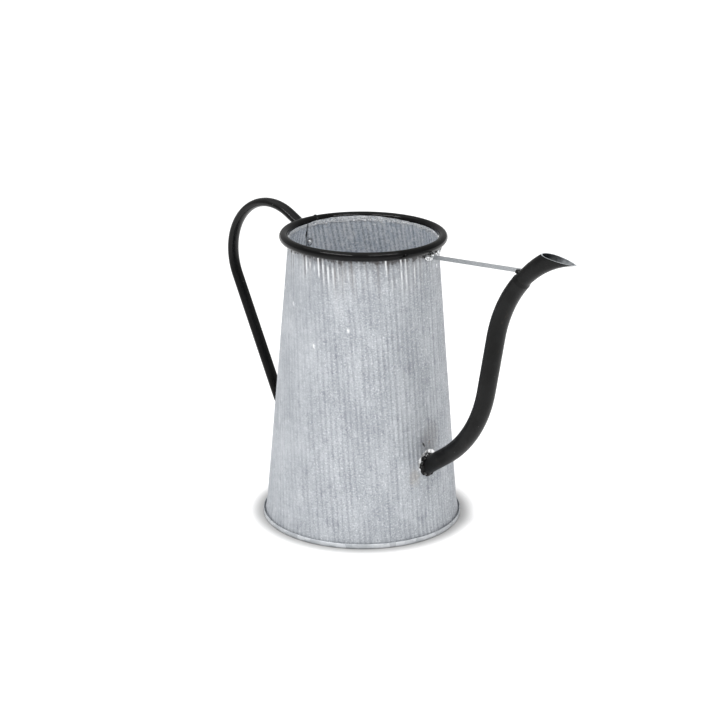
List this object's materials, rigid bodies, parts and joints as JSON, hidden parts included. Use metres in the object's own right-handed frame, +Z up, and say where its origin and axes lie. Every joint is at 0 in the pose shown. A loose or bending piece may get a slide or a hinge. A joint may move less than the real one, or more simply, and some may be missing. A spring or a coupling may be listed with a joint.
{
  "type": "watering can",
  "caption": "Tall tapered galvanised watering can with ribbed wall, black rim ring, loop handle and S-shaped spout held by a thin brace.",
  "frame": {"origin": "on the can's axis, at the plane the base hem stands on", "axes": "+X towards the spout, -X towards the handle, +Z up, +Y to the left of the spout"},
  "size_m": [0.3884, 0.1714, 0.2686],
  "materials": {
    "galvanised_sheet": "dull mottled zinc, finely ribbed",
    "black_paint": "satin black paint",
    "bare_solder": "bright bare solder"
  },
  "bodies": {
    "root": {"body_shell": "galvanised_sheet", "seam_spot_welds": "bare_solder", "base_pan": "galvanised_sheet", "base_seal": "bare_solder", "rim_ring": "black_paint", "rim_joint_weld": "black_paint", "rim_tack_welds": "black_paint", "handle_tube": "black_paint", "handle_top_weld": "black_paint", "handle_foot_weld": "black_paint", "spout_tube": "black_paint", "spout_root_weld": "black_paint", "spout_nozzle": "black_paint", "nozzle_joint_braze": "black_paint", "brace_strap": "galvanised_sheet", "brace_rim_solder": "bare_solder", "brace_spout_weld": "black_paint"}
  },
  "joints": []
}
